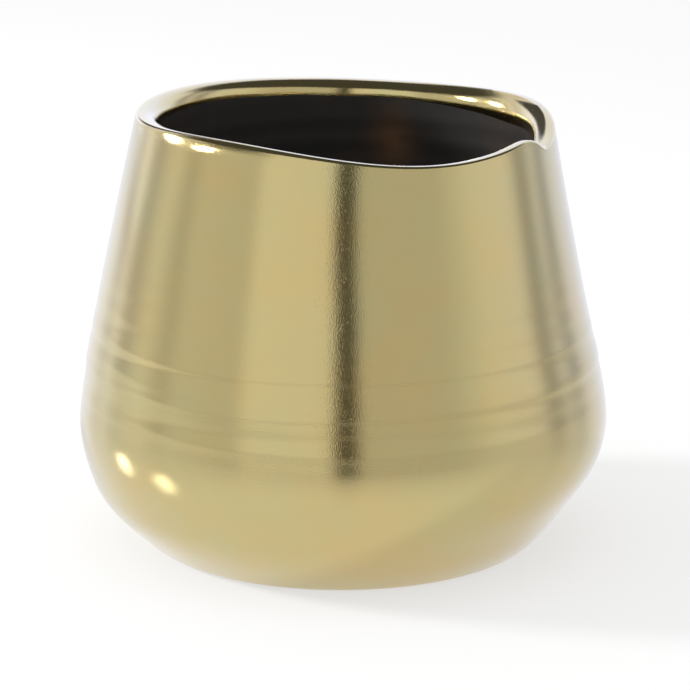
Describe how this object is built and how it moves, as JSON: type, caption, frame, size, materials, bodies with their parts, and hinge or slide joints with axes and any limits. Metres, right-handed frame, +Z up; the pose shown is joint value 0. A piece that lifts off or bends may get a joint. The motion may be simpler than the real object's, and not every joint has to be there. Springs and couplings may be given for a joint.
{
  "type": "planter pot",
  "caption": "Round-bellied planter pot that tapers to an uneven hand-trimmed rim: ceramic body with a satin brass coat, dark glazed inside and felt pads underneath.",
  "frame": {"origin": "centre of the belly, on the plane that the pot stands on", "axes": "+Z up through the mouth; -Y is the front; +X is to the right seen from the front, where the rim dips"},
  "size_m": [0.18, 0.18, 0.1489],
  "materials": {
    "stoneware_body": "bare fired stoneware, matt, seen only on the foot ring and underside",
    "brass_coat": "satin brass coat with fine grain, over thrown ridges",
    "interior_glaze": "glossy dark brown glaze",
    "felt_pad": "pressed wool felt"
  },
  "bodies": {
    "root": {"stoneware_body": "stoneware_body", "brass_coat": "brass_coat", "interior_glaze": "interior_glaze", "felt_pad_1": "felt_pad", "felt_pad_2": "felt_pad", "felt_pad_3": "felt_pad", "felt_pad_4": "felt_pad"}
  },
  "joints": []
}
